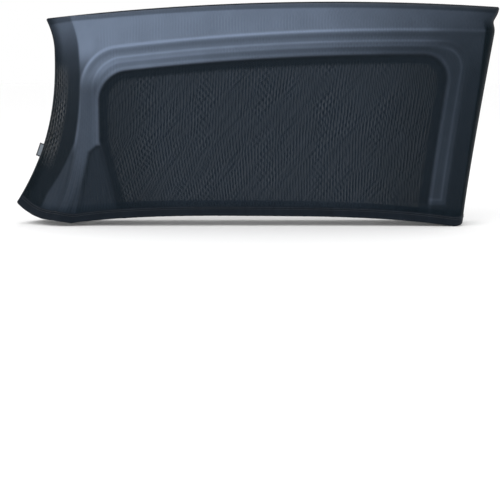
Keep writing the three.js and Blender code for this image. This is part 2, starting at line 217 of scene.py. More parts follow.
# Cells of each panel's grid, across and down; the cabin side carries the fine detail
CABIN_ACROSS = (28, 18, 290, 40, 18)
CABIN_DOWN = (12, 54, 130)
STREET_ACROSS = (24, 12, 180, 24, 18)
STREET_DOWN = (10, 30, 80)
HEM_DOWN = (7, 8, 7)


def smooth(t):
    t = np.clip(t, 0, 1)
    return t * t * t * (t * (t * 6 - 15) + 10)


def mix(a, b, t):
    return a + (b - a) * t


LEFT_TOP_X = TOP_LEAN - TOP_WIDTH / 2
RIGHT_TOP_X = TOP_LEAN + TOP_WIDTH / 2
LEFT_FOOT_X = -MOUTH_WIDTH / 2
RIGHT_FOOT_X = MOUTH_WIDTH / 2


def left_seam(v):
    waist = LEFT_TOP_X + LEFT_FLARE
    above = waist - LEFT_FLARE * (np.maximum(LEFT_WAIST - v, 0) / LEFT_WAIST) ** 2
    swing = (np.maximum(v - LEFT_WAIST, 0) / (1 - LEFT_WAIST)) ** LEFT_SWEEP
    return np.where(v < LEFT_WAIST, above, waist + (LEFT_FOOT_X - waist) * swing)


def right_seam(v):
    nip = RIGHT_PINCH * np.exp(-((v - PINCH_DROP) / PINCH_SPREAD) ** 2)
    return RIGHT_FOOT_X + (RIGHT_TOP_X - RIGHT_FOOT_X) * np.maximum(1 - v, 0) ** RIGHT_SWEEP - nip


def low_share(v):
    return np.clip((v - LOW_FROM) / (1 - LOW_FROM), 0, 1)


def recess_left(v):
    return LEFT_FOOT_X + RECESS_LEFT_IN + CORNER_FACET_LEAN * low_share(v)


def recess_right(v):
    return right_seam(v) - RECESS_RIGHT_IN


def inner_left_wall(v):
    return mix(INNER_LEFT_TOP, INNER_LEFT_FOOT, np.clip(v, 0, 1) ** INNER_LEFT_SPREAD)


def outer_left_wall(v):
    return mix(OUTER_LEFT_TOP, OUTER_LEFT_FOOT, v)


def top_z(u):
    return mix(LEFT_FOOT_RISE + LEFT_HEIGHT, RIGHT_HEIGHT, u) + TOP_BOW * 4 * u * (1 - u)


def recess_top_z(u):
    return top_z(u) - mix(BORDER_LEFT, BORDER_RIGHT, u)


def seam_y(v):
    return mix(SEAM_DEPTH_TOP, SEAM_DEPTH_FOOT, v)


def back_y(v):
    return mix(BACK_DEPTH_TOP, BACK_DEPTH_FOOT, v)


def face_mouth_z(x, left_fold, right_fold):
    left = left_fold + LEFT_CORNER_IN
    right = right_fold - RIGHT_CORNER_IN
    t = (2 * x - left - right) / (right - left)
    beyond = np.maximum(np.abs(t) - 1, 0) * (right - left) / 2
    arch = MOUTH_ARCH * (1 - np.minimum(np.abs(t), 1) ** 3)
    return mix(MOUTH_TILT, 0, (np.clip(t, -1, 1) + 1) / 2) + arch + CORNER_SLOPE * beyond


def soft_rise(a):
    whole = math.hypot(1, WALL_SOFTNESS) - WALL_SOFTNESS
    return (np.hypot(a, WALL_SOFTNESS) - WALL_SOFTNESS) / whole


def rounded_inside(a, b, radius):
    corner = radius - np.hypot(np.maximum(radius - a, 0), np.maximum(radius - b, 0))
    return np.where((a < radius) & (b < radius), corner, np.minimum(a, b))


def rise(distance, slope):
    return smooth(0.5 + distance / slope)


def regions(x, z, u, v):
    """Distances inside the shapes that the stretched panel takes, in mm."""
    left = x - recess_left(v)
    right = recess_right(v) - x
    top = recess_top_z(u) - z
    bottom = z - HEM - RECESS_FOOT
    upper = np.minimum(
        rounded_inside(left, top, RECESS_CORNER),
        rounded_inside(right, top, RECESS_CORNER),
    )
    step = np.minimum(
        rounded_inside(left + STEP_LEFT, top + STEP_OUT, RECESS_CORNER),
        rounded_inside(right + STEP_RIGHT, top + STEP_OUT, RECESS_CORNER),
    )
    fold = x - left_seam(v) - inner_left_wall(v)
    facet_left = left + mix(CORNER_FACET_TIP, CORNER_FACET_FOOT, low_share(v))
    facet_top = CORNER_FACET_TOP - z
    return {
        "recess": np.minimum(upper, bottom),
        "glass": upper,
        "step": np.minimum(step, bottom),
        "crease": rounded_inside(fold, top + CREASE_OUT, CREASE_CORNER),
        "facet": np.minimum(
            np.minimum(facet_left, -left),
            np.minimum(facet_top, FACET_CUT_SLOPE * (facet_left + facet_top) - FACET_CHAMFER),
        ),
        "ridge": facet_left + FOOT_RIDGE_IN * low_share(v),
        "fold": fold,
        "right": right_seam(v) - x,
        "low": low_share(v),
    }


def relief(r):
    ridge = np.exp(-((r["ridge"] / FOOT_RIDGE_SPREAD) ** 2))
    return (
        RECESS * rise(r["recess"], RECESS_SLOPE)
        + STEP_FALL * rise(r["step"], CREASE_SLOPE)
        + CREASE_FALL * (1 - rise(r["crease"], CREASE_SLOPE))
        + CORNER_FACET_FALL * rise(r["facet"], CREASE_SLOPE)
        - FOOT_RIDGE * smooth(r["low"]) * ridge
    )


def columns_of(cells_across, left_wall, right_wall):
    """Where each column of a panel lies: its stretch, its share of that stretch, its depth."""
    lines = [
        left_seam,
        lambda v: left_seam(v) + left_wall(v),
        lambda v: np.maximum(recess_left(v), left_seam(v) + left_wall(v) + BORDER_LEAST),
        recess_right,
        lambda v: right_seam(v) - right_wall,
        right_seam,
    ]
    stretch, share, depth, wall = [], [], [], []
    last = len(cells_across) - 1
    for k, cells in enumerate(cells_across):
        for i in range(cells + (k == last)):
            t = i / cells
            turn = t * math.pi / 2
            stretch.append(k)
            share.append(math.sin(turn) if k == last else t)
            depth.append(float(soft_rise(1 - t)) if k == 0 else 0)
            wall.append(1 - t if k == 0 else 0)
            if k == last:
                depth[-1] = 1 - math.cos(turn)
    return lines, np.array(stretch), np.array(share), np.array(depth), np.array(wall)


def rows_of(cells_down):
    """Each row's stretch down the panel, its share of that stretch and its depth."""
    stretch, share, depth = [], [], []
    for k, cells in enumerate(cells_down):
        for j in range(cells + (k == len(cells_down) - 1)):
            t = j / cells
            turn = t * math.pi / 2
            stretch.append(k)
            share.append(1 - math.cos(turn) if k == 0 else t)
            depth.append(1 - math.sin(turn) if k == 0 else 0)
    return np.array(stretch), np.array(share), np.array(depth)


def place_columns(lines, stretch, share, v):
    x = np.zeros(np.broadcast(share, v).shape)
    for k in range(len(lines) - 1):
        part = mix(lines[k](v), lines[k + 1](v), share)
        x = np.where(np.broadcast_to(stretch == k, x.shape), part, x)
    return x


class Panel:
    """One knit panel's middle surface, as arrays over rows and columns."""

    def __init__(self, street):
        self.street = street
        wall = outer_left_wall if street else inner_left_wall
        right = OUTER_RIGHT if street else INNER_RIGHT
        across = STREET_ACROSS if street else CABIN_ACROSS
        self.cells_down = STREET_DOWN if street else CABIN_DOWN
        columns = columns_of(across, wall, right)
        self.lines, self.stretch, self.share, self.depth, self.wall = columns
        half = np.array(0.5)
        at_half = place_columns(self.lines, self.stretch, self.share, half)
        width = float(right_seam(half) - left_seam(half))
        self.u = np.clip((at_half - float(left_seam(half))) / width, 0, 1)
        foot = np.array(1.0)
        x = place_columns(self.lines, self.stretch, self.share, foot)
        left_fold = float(self.lines[1](foot))
        right_fold = float(self.lines[4](foot))
        flat = face_mouth_z(np.maximum(x, left_fold), left_fold, right_fold)
        self.mouth_z = mix(flat, LEFT_FOOT_RISE, self.wall ** FOOT_CURVE)

    def point(self, z, row_depth):
        """x, y and the share down the sleeve at the given heights, for every column."""
        v = (top_z(self.u) - z) / (top_z(self.u) - self.mouth_z)
        x = place_columns(self.lines, self.stretch, self.share, v)
        edge = 1 - (1 - self.depth) * (1 - row_depth)
        if self.street:
            belly = np.sin(math.pi * self.u) * np.sin(math.pi * np.minimum(1, 0.15 + 0.7 * v))
            y = mix(back_y(v) + BACK_BELLY * belly, seam_y(v) + PLY, edge)
            y = y + pucker(x, z - self.mouth_z - HEM)
        else:
            shape = relief(regions(x, z, self.u, v))
            y = mix(shape, seam_y(v) - PLY, edge)
            y = y - pucker(x + CABIN_PUCKER_SHIFT, z - self.mouth_z - HEM)
        return x, y, v

    def surface(self):
        stretch, share, depth = rows_of(self.cells_down)
        levels = [top_z(self.u), top_z(self.u) - ROLL, recess_top_z(self.u), self.mouth_z + HEM]
        z = np.zeros((len(stretch), len(self.u)))
        for k in range(len(levels) - 1):
            rows = stretch == k
            z[rows] = mix(levels[k], levels[k + 1], share[rows][:, None])
        x, y, v = self.point(z, depth[:, None])
        return np.stack([x, y, z], axis=-1), v


def pucker(x, above):
    """Small gathers over the hem, dying out upwards."""
    first = np.sin(2 * math.pi * x / PUCKER_PITCH)
    second = np.sin(2 * math.pi * x / PUCKER_SECOND_PITCH + 1)
    fade = np.exp(-np.maximum(above, 0) / PUCKER_FADE)
    return PUCKER * (first + 0.5 * second) * fade * 0.5


def place_in_frame():
    """How far the model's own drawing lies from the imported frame."""
    v = np.linspace(0, 1, 400)
    u = np.linspace(0, 1, 400)
    low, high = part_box("edge_seam")
    x_middle = (left_seam(v).min() + right_seam(v).max()) / 2
    y_middle = (SEAM_DEPTH_TOP + SEAM_DEPTH_FOOT) / 2
    return np.array([
        (low.x + high.x) / 2 / MM - x_middle,
        (low.y + high.y) / 2 / MM - y_middle,
        high.z / MM - top_z(u).max() - SEAM_OUT - SEAM_RADIUS,
    ])


SHIFT = place_in_frame()


def clear_selection():
    bpy.ops.object.select_all(action="DESELECT")


def grid_piece(name, points, wrap=False):
    """A primitive grid whose vertices are moved to the points, rows by columns, in mm."""
    rows, columns = points.shape[:2]
    clear_selection()
    bpy.ops.mesh.primitive_grid_add(x_subdivisions=columns - 1, y_subdivisions=rows - 1, size=1)
    piece = bpy.context.object
    piece.name = name
    piece.data.name = name
    start = np.zeros(rows * columns * 3)
    piece.data.vertices.foreach_get("co", start)
    start = start.reshape(-1, 3)
    column = np.rint((start[:, 0] + 0.5) * (columns - 1)).astype(int)
    row = np.rint((start[:, 1] + 0.5) * (rows - 1)).astype(int)
    placed = (points + SHIFT)[row, column] * MM
    piece.data.vertices.foreach_set("co", placed.ravel())
    corner = np.zeros(len(piece.data.loops), int)
    piece.data.loops.foreach_get("vertex_index", corner)
    along = lengths(points, 1)
    down = lengths(points, 0)
    span = max(along.max(), down.max())
    uv = np.stack([along[row, column] / span, down[row, column] / span], axis=-1)[corner]
    layer = piece.data.uv_layers.active or piece.data.uv_layers.new(name="cloth")
    layer.name = "cloth"
    layer.data.foreach_set("uv", uv.ravel())
    piece["uv_span_mm"] = float(span)
    piece.data.update()
    if wrap:
        clear_selection()
        piece.select_set(True)
        bpy.ops.object.mode_set(mode="EDIT")
        bpy.ops.mesh.select_all(action="SELECT")
        bpy.ops.mesh.remove_doubles(threshold=0.00001)
        bpy.ops.object.mode_set(mode="OBJECT")
    return piece, row, column


def lengths(points, axis):
    """Running length over the grid of points, averaged across it so that it stays even."""
    steps = np.linalg.norm(np.diff(points, axis=axis), axis=-1)
    mean = steps.mean(axis=1 - axis)
    total = np.concatenate([[0], np.cumsum(mean)])
    shape = points.shape[:2]
    return np.broadcast_to(total[None, :] if axis == 1 else total[:, None], shape)


def run_along(line):
    """Length along a line of points, from its start to each of them."""
    return np.concatenate([[0], np.cumsum(np.linalg.norm(np.diff(line, axis=0), axis=1))])


def at_lengths(run, values, where):
    return np.stack([np.interp(where, run, values[:, k]) for k in range(3)], axis=-1)


def make_closed(piece):
    """Fills any open ring of edges and turns all faces outwards."""
    clear_selection()
    piece.select_set(True)
    bpy.context.view_layer.objects.active = piece
    bpy.ops.object.mode_set(mode="EDIT")
    bpy.ops.mesh.select_mode(type="EDGE")
    bpy.ops.mesh.select_all(action="DESELECT")
    bpy.ops.mesh.select_non_manifold()
    bpy.ops.mesh.edge_face_add()
    bpy.ops.mesh.select_all(action="SELECT")
    bpy.ops.mesh.normals_make_consistent(inside=False)
    bpy.ops.object.mode_set(mode="OBJECT")


def face_outwards(piece, outward_y):
    """Turns the piece's faces round if they point to the wrong side."""
    total = sum(face.normal.y * face.area for face in piece.data.polygons)
    if total * outward_y < 0:
        piece.data.flip_normals()


def set_attribute(piece, name, values):
    layer = piece.data.attributes.new(name, "FLOAT", "POINT")
    layer.data.foreach_set("value", values.astype(np.float32))


def shade(piece, angle=60):
    clear_selection()
    piece.select_set(True)
    bpy.context.view_layer.objects.active = piece
    bpy.ops.object.shade_smooth_by_angle(angle=math.radians(angle))


# Materials

def linear_light(value):
    """sRGB values from 0 to 255 as linear light from 0 to 1."""
    share = np.asarray(value, float) / 255
    return np.where(share > 0.04045, ((share + 0.055) / 1.055) ** 2.4, share / 12.92)


def linear(hex_colour):
    """An sRGB hex value as linear red, green, blue and full alpha."""
    channels = [int(hex_colour[i:i + 2], 16) for i in (1, 3, 5)]
    return (*linear_light(channels).tolist(), 1)


def add(material, kind, settings=None, **inputs):
    """One node with its settings; an input is a value, or an output socket to link."""
    tree = material.node_tree
    made = tree.nodes.new(kind)
    for key, value in (settings or {}).items():
        setattr(made, key, value)
    for key, value in inputs.items():
        socket = made.inputs[int(key[1:])] if key[1:].isdigit() else made.inputs[key.replace("_", " ")]
        if isinstance(value, bpy.types.NodeSocket):
            tree.links.new(value, socket)
        else:
            socket.default_value = value
    return made


def new_material(name):
    material = bpy.data.materials.new(name)
    material.use_nodes = True
    material.node_tree.nodes.clear()
    return material


def finish_material(material, shader):
    add(material, "ShaderNodeOutputMaterial", None, Surface=shader.outputs[0])
    return material


def maths(material, operation, a, b=0.0, c=0.0):
    made = add(material, "ShaderNodeMath", {"operation": operation}, i0=a, i1=b, i2=c)
    return made.outputs[0]


def knit_material(name, span, wale, course, line_pitch, lean):
    """Warp-knit polyester mesh: matt black thread with small holes in staggered rows. Its greys are
    painted light and shade from the tone attribute, and its holes are mostly more open where that tone
    is paler. Real holes are about 1 mm; they are drawn at the wale and course given here, in mm, and
    the soft upright lines that the eye sees in such a mesh are drawn at the line pitch, because finer
    ones vanish in the picture."""
    material = new_material(name)
    uv = add(material, "ShaderNodeUVMap", {"uv_map": "cloth"})
    apart = add(material, "ShaderNodeSeparateXYZ", None, Vector=uv.outputs[0])
    across = maths(material, "MULTIPLY", apart.outputs[0], span)
    down = maths(material, "MULTIPLY", apart.outputs[1], span)
    waver = add(material, "ShaderNodeTexNoise", None, Vector=uv.outputs[0],
                Scale=span / DRIFT_LENGTH, Detail=1.0)
    drift = maths(material, "MULTIPLY_ADD", waver.outputs["Fac"], WALE_DRIFT, across)
    leaning = maths(material, "MULTIPLY_ADD", down, lean, drift)
    holes = staggered(material, leaning, down, wale, course)
    lines = staggered(material, leaning, down, line_pitch, 2.2 * line_pitch)

    tone_map = add(material, "ShaderNodeAttribute", {"attribute_name": "tone"})
    open_map = add(material, "ShaderNodeAttribute", {"attribute_name": "open"})
    mark_map = add(material, "ShaderNodeAttribute", {"attribute_name": "marks"})
    patches = add(material, "ShaderNodeTexNoise", None, Vector=uv.outputs[0],
                  Scale=span / PATCH_LENGTH, Detail=2.0)
    patchy = add(material, "ShaderNodeMapRange", None, Value=patches.outputs["Fac"],
                 From_Min=0.35, From_Max=0.65, To_Min=0.5, To_Max=1.6)
    lines_here = maths(material, "MULTIPLY", lines, mark_map.outputs["Fac"])
    lines_here = maths(material, "MULTIPLY", lines_here, patchy.outputs[0])
    through = maths(material, "MULTIPLY_ADD", holes, HOLE_CONTRAST, 1.0)
    through = maths(material, "MULTIPLY_ADD", lines_here, LINE_CONTRAST, through)
    through = maths(material, "MULTIPLY", through, open_map.outputs["Fac"])
    alpha = maths(material, "SUBTRACT", 1.0, through)

    cloud = add(material, "ShaderNodeTexNoise", None, Vector=uv.outputs[0], Scale=span / 45, Detail=4.0)
    uneven = add(material, "ShaderNodeMapRange", None, Value=cloud.outputs["Fac"],
                 From_Min=0.3, From_Max=0.7, To_Min=0.93, To_Max=1.07)
    grain = maths(material, "MULTIPLY_ADD", lines_here, LINE_TINT, uneven.outputs[0])
    grain = maths(material, "MULTIPLY_ADD", holes, -HOLE_TINT, grain)
    tone = maths(material, "MULTIPLY", tone_map.outputs["Fac"], grain)
    colour = add(material, "ShaderNodeMixRGB", None, Fac=tone, Color1=linear(KNIT_DARK),
                 Color2=linear(KNIT_PAINTED_PALE))
    bump = add(material, "ShaderNodeBump", None, Strength=0.3, Distance=0.0005,
               Height=maths(material, "MULTIPLY", holes, -0.5))
    shader = add(material, "ShaderNodeBsdfPrincipled", None, Base_Color=colour.outputs[0],
                 Roughness=0.75, Alpha=alpha, Normal=bump.outputs[0])
    shader.inputs["Sheen Weight"].default_value = 0.03
    shader.inputs["Sheen Roughness"].default_value = 0.5
    shader.inputs["Specular IOR Level"].default_value = 0.05
    return finish_material(material, shader)


def staggered(material, across, down, wide, tall):
    """Rows of marks from -1 to 1, each column half a step below the last."""
    columns = maths(material, "SINE", maths(material, "MULTIPLY", across, 2 * math.pi / wide))
    half = maths(material, "SINE", maths(material, "MULTIPLY", across, math.pi / wide))
    marks = maths(material, "SINE", maths(material, "MULTIPLY", down, 2 * math.pi / tall))
    marks = maths(material, "MULTIPLY", marks, half)
    return maths(material, "MULTIPLY_ADD", marks, 0.45, maths(material, "MULTIPLY", columns, 0.55))


def hem_material(name, span):
    """Two plies of the knit over elastic: nearly opaque black, with fine upright ribs."""
    material = new_material(name)
    uv = add(material, "ShaderNodeUVMap", {"uv_map": "cloth"})
    apart = add(material, "ShaderNodeSeparateXYZ", None, Vector=uv.outputs[0])
    across = maths(material, "MULTIPLY", apart.outputs[0], span)
    rib = maths(material, "SINE", maths(material, "MULTIPLY", across, 2 * math.pi / HEM_RIB))
    cloud = add(material, "ShaderNodeTexNoise", None, Vector=uv.outputs[0],
                Scale=span / 30, Detail=4.0)
    tone = add(material, "ShaderNodeMixRGB", None, Fac=cloud.outputs["Fac"],
               Color1=linear("#0c1219"), Color2=linear("#182029"))
    height = maths(material, "MULTIPLY_ADD", rib, 0.5, cloud.outputs["Fac"])
    bump = add(material, "ShaderNodeBump", None, Strength=0.5, Distance=0.0005, Height=height)
    shader = add(material, "ShaderNodeBsdfPrincipled", None, Base_Color=tone.outputs[0],
                 Roughness=0.8, Normal=bump.outputs[0])
    shader.inputs["Sheen Weight"].default_value = 0.05
    shader.inputs["Specular IOR Level"].default_value = 0.08
    return finish_material(material, shader)


def thread_material(name, dark, light, pitch):
    """Spun polyester: matt, with a slight sheen along each twist."""
    material = new_material(name)
    place = add(material, "ShaderNodeTexCoord")
    grain = add(material, "ShaderNodeTexNoise", None, Vector=place.outputs["Object"],
                Scale=1 / (pitch * MM), Detail=2.0)
    tone = add(material, "ShaderNodeMixRGB", None, Fac=grain.outputs["Fac"],
               Color1=linear(dark), Color2=linear(light))
    bump = add(material, "ShaderNodeBump", None, Strength=0.4, Distance=0.0003,
               Height=grain.outputs["Fac"])
    shader = add(material, "ShaderNodeBsdfPrincipled", None, Base_Color=tone.outputs[0],
                 Roughness=0.7, Normal=bump.outputs[0])
    shader.inputs["Sheen Weight"].default_value = 0.2
    shader.inputs["Specular IOR Level"].default_value = 0.25
    return finish_material(material, shader)


def elastic_material(name, span):
    """Woven elastic: black, ribbed across, with fine warp lines along its length."""
    material = new_material(name)
    uv = add(material, "ShaderNodeUVMap", {"uv_map": "cloth"})
    apart = add(material, "ShaderNodeSeparateXYZ", None, Vector=uv.outputs[0])
    width = maths(material, "MULTIPLY", apart.outputs[1], span)
    turns = maths(material, "MULTIPLY", width, 2 * math.pi / ELASTIC_WARP)
    warp = maths(material, "SINE", turns)
    grain = add(material, "ShaderNodeTexNoise", None, Vector=uv.outputs[0], Scale=span / 3, Detail=2.0)
    height = maths(material, "MULTIPLY_ADD", warp, 0.4, grain.outputs["Fac"])
    tone = add(material, "ShaderNodeMixRGB", None, Fac=height, Color1=linear("#0c1014"),
               Color2=linear("#23282f"))
    bump = add(material, "ShaderNodeBump", None, Strength=0.5, Distance=0.0003, Height=height)
    shader = add(material, "ShaderNodeBsdfPrincipled", None, Base_Color=tone.outputs[0],
                 Roughness=0.75, Normal=bump.outputs[0])
    return finish_material(material, shader)


def label_material(name, span, loop):
    """Woven satin ribbon: a plain pale face inside dark selvedges, with a fine twill."""
    material = new_material(name)
    uv = add(material, "ShaderNodeUVMap", {"uv_map": "cloth"})
    apart = add(material, "ShaderNodeSeparateXYZ", None, Vector=uv.outputs[0])
    length = maths(material, "MULTIPLY", apart.outputs[0], span)
    round_loop = maths(material, "MULTIPLY", apart.outputs[1], span)
    from_end = maths(material, "PINGPONG", length, LABEL_LENGTH / 2)
    from_fold = maths(material, "ABSOLUTE", maths(material, "SUBTRACT", round_loop, loop / 2))
    face = maths(material, "MINIMUM", from_end, from_fold)
    inside = add(material, "ShaderNodeMapRange", {"interpolation_type": "SMOOTHSTEP"}, Value=face,
                 From_Min=LABEL_SELVEDGE, From_Max=LABEL_SELVEDGE + 0.6)
    slant = maths(material, "ADD", length, round_loop)
    turns = maths(material, "MULTIPLY", slant, 2 * math.pi / LABEL_TWILL)
    twill = maths(material, "SINE", turns)
    tone = add(material, "ShaderNodeMixRGB", None, Fac=inside.outputs[0],
               Color1=linear("#10161d"), Color2=linear("#6d757e"))
    shine = maths(material, "MULTIPLY_ADD", twill, 0.06, 0.94)
    colour = add(material, "ShaderNodeMixRGB", {"blend_type": "MULTIPLY"}, Fac=1.0,
                 Color1=tone.outputs[0], Color2=shine)
    bump = add(material, "ShaderNodeBump", None, Strength=0.4, Distance=0.0002, Height=twill)
    shader = add(material, "ShaderNodeBsdfPrincipled", None, Base_Color=colour.outputs[0],
                 Roughness=0.5, Normal=bump.outputs[0])
    shader.inputs["Sheen Weight"].default_value = 0.1
    return finish_material(material, shader)


# Camera, light and floor

CAMERA_X = -7.7
CAMERA_BACK = 2453.8
CAMERA_UP = 308.3
CAMERA_PITCH = -8.44
FOCAL_PIXELS = 1200
PICTURE_WIDTH = 500


def make_camera():
    data = bpy.data.cameras.new("camera")
    data.sensor_width = 36
    data.lens = 36 * FOCAL_PIXELS / PICTURE_WIDTH
    data.clip_end = 100
    camera = bpy.data.objects.new("camera", data)
    bpy.context.scene.collection.objects.link(camera)
    camera.location = Vector((CAMERA_X, -CAMERA_BACK, CAMERA_UP)) * MM
    camera.rotation_euler = (math.radians(90 + CAMERA_PITCH), 0, 0)
    bpy.context.scene.camera = camera


def make_light():
    world = bpy.data.worlds.new("world")
    bpy.context.scene.world = world
    world.use_nodes = True
    world.node_tree.nodes["Background"].inputs[0].default_value = (1, 1, 1, 1)
    world.node_tree.nodes["Background"].inputs[1].default_value = 1.0
    for name, place, size, power in (
        ("window_light", (-1.6, -2.4, 2.6), 2.4, 40),
        ("fill_light", (2.2, -1.6, 1.6), 2.0, 14),
    ):
        data = bpy.data.lights.new(name, "AREA")
        data.size = size
        data.energy = power
        lamp = bpy.data.objects.new(name, data)
        bpy.context.scene.collection.objects.link(lamp)
        lamp.location = place
        aim = Vector((0, 0, 0.25)) - lamp.location
        lamp.rotation_euler = aim.to_track_quat("-Z", "Y").to_euler()


def make_floor():
    clear_selection()
    bpy.ops.mesh.primitive_plane_add(size=60, location=(0, 0, -0.0005))
    floor = bpy.context.object
    floor.name = "floor"
    material = new_material("pale_floor")
    shader = add(material, "ShaderNodeBsdfPrincipled", None, Base_Color=linear("#fefefe"),
                 Roughness=0.9)
    floor.data.materials.append(finish_material(material, shader))


make_camera()
make_light()
make_floor()


# Knit panels

def level(grey):
    """A grey from 0 to 255, as the eye sees it, as a share of the way from the knit's dark colour to
    the palest painted one.
    """
    dark, pale = (linear(colour)[1] for colour in (KNIT_DARK, KNIT_PAINTED_PALE))
    return (linear_light(grey) - dark) / (pale - dark)


def along_stops(value, stops):
    return np.interp(value, [stop[0] for stop in stops], [stop[1] for stop in stops])


def line_at(distance, middle, spread):
    return np.exp(-((distance - middle) / spread) ** 2)


def cabin_tones(panel, points, v):
    """The greys painted on the stretched panel, mostly painted light and shade over its relief, and how
    open its holes are.
    """
    x, z = points[..., 0], points[..., 2]
    u = np.broadcast_to(panel.u, x.shape)
    r = regions(x, z, u, v)
    # Painted shade in bands between the upper fold, the step and the recess, over the painted border
    # greys
    inside = rise(r["crease"], 10)
    shelf = rise(r["step"], 5)
    rim = rise(r["step"] - 8, 6)
    above = mix(1, mix(*BAND_SHARES, u), rise(r["crease"] - 3, 6))
    above = mix(above, mix(*SHELF_SHARES, u), shelf)
    above = mix(above, mix(*RIM_SHARES, u), rim)
    grey = along_stops(u, TOP_GREYS) * above
    # Painted greys for the left and right borders, and a painted paler strip beside the recess on the
    # right
    leftness = smooth((0.24 - u) / 0.07) * smooth((v - mix(0.15, 0.24, inside)) / 0.15)
    grey = mix(grey, along_stops(v, LEFT_GREYS), leftness)
    rightness = smooth((u - 0.83) / 0.09) * smooth(v / 0.22)
    grey = mix(grey, along_stops(v, RIGHT_GREYS), rightness)
    lift = np.minimum(mix(*RIGHT_STRIP_LIFT, v), RIGHT_STRIP_MOST)
    grey = grey * mix(1, lift, rightness * shelf)
    away = (1 - rightness) * (1 - leftness)
    # Painted highlights along the crests and where the cloth turns into the recess; painted shade below
    # the upper fold
    grey = grey * (1 + CREASE_PAINTED_HIGHLIGHT * line_at(r["crease"], -1, CREST_WIDTH) * (1 - rightness))
    grey = grey * (1 + CREASE_PAINTED_HIGHLIGHT * line_at(r["step"], -3, CREST_WIDTH) * mix(0.3, 1, away))
    grey = grey * (1 + CREASE_PAINTED_HIGHLIGHT * line_at(r["step"], 10, CREST_WIDTH) * rightness)
    grey = grey * (1 - CREASE_PAINTED_SHADE * line_at(r["crease"], 9, 5) * away)

    grey = grey * (1 + RECESS_PAINTED_HIGHLIGHT * line_at(r["glass"], -4, 3.5))
    # The recess is painted dark, with painted shade at its sides, to the right and along its rim
    sides = np.minimum(x - recess_left(v), recess_right(v) - x)
    window = mix(WINDOW_SIDE_GREY, WINDOW_GREY, smooth(sides / 150))
    window = window * (1 - WINDOW_RIGHT_PAINTED_SHADE * smooth((u - 0.6) / 0.3))
    window = mix(RIM_GREY, window, smooth((r["glass"] - RIM_WIDTH + 4) / 10))
    grey = mix(grey, window, rise(r["glass"], 4))

    # Painted shade along the facet's edges and beside the foot ridge
    grey = mix(grey, FACET_GREY, rise(r["facet"], 5))
    grey = grey * (1 - FACET_EDGE_PAINTED_SHADE * line_at(r["facet"], 0, 3.5) * (1 - rise(r["glass"], 4)))
    grey = grey * (1 - 0.20 * smooth(r["low"]) * line_at(r["ridge"], 10, 6))

    # Painted shade on the slanting flank, along the left fold and down the turned left wall, darker
    # near the seam
    from_seam = x - left_seam(v)
    edge_now = along_stops(v, WALL_EDGE)
    flank = rise(-r["fold"], 8) * smooth((v - 0.6) / 0.1)
    grey = mix(grey, FLANK_GREY, flank)
    grey = grey * (1 - 0.18 * line_at(r["fold"], 0, 4) * smooth((v - 0.55) / 0.15))
    wall = rise(edge_now - from_seam, 6)
    turned_back = mix(0.55, 1, smooth(from_seam / 22))
    grey = mix(grey, along_stops(v, WALL_GREYS) * turned_back, wall)
    # Painted near-black shade where the cloth turns at the right
    right_wall = rise(along_stops(v, RIGHT_EDGE) - r["right"], 8) * smooth((v - 0.03) / 0.1)
    grey = mix(grey, RIGHT_WALL_GREY, right_wall)
    # Painted shade along the rolled top edge, and darker just above the hem
    turned = 1 - smooth((top_z(u) - z - TURNED_EDGE) / 5)
    grey = grey * (1 - TURNED_PAINTED_SHADE * turned)
    foot = 1 - smooth((z - panel.mouth_z - HEM) / 16)
    grey = grey * (1 - 0.12 * foot)

    strip = rise(STRIP_WIDTH - from_seam, 8) * smooth((v - 0.2) / 0.1) * smooth((0.8 - v) / 0.15)
    opened = along_stops(grey, OPEN_BY_GREY)
    clear = rise(r["glass"] - RIM_WIDTH, 10)
    opened = mix(opened, WINDOW_OPEN, clear * (1 - rise(r["facet"], 5)))
    opened = mix(opened, STRIP_OPEN, strip)
    marks = mix(0.22, 1, clear)
    marks = mix(marks, 0.15, rise(r["facet"], 8))
    marks = mix(marks, 1.8, strip)
    return level(grey), opened, marks


def street_tones(panel, points, v):
    """The outer panel is the same knit behind the other, painted dark as shade, paler towards its
    sides, with painted shade along its rolled top edge.
    """
    u = np.broadcast_to(panel.u, v.shape)
    edge = 1 - smooth((top_z(u) - points[..., 2] - TURNED_EDGE) / 5)
    middle = smooth(np.minimum(u, 1 - u) / 0.25)
    grey = mix(STREET_SIDE_GREY, STREET_GREY, middle) * (1 - 0.15 * edge)
    strip = smooth((0.10 - u) / 0.06) * smooth((v - 0.15) / 0.15) * smooth((0.9 - v) / 0.2)
    return level(grey), mix(STREET_OPEN, STREET_STRIP_OPEN, strip), np.full(v.shape, 0.7)


def make_panel(name, panel, node, material):
    points, v = panel.surface()
    piece, row, column = grid_piece(name, points)
    tones = street_tones if panel.street else cabin_tones
    for attribute, values in zip(("tone", "open", "marks"), tones(panel, points, v)):
        set_attribute(piece, attribute, values[row, column])
    face_outwards(piece, 1 if panel.street else -1)
    piece.data.materials.append(material(piece["uv_span_mm"]))
    shade(piece)
    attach(piece, "root")
    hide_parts(node)
    return piece


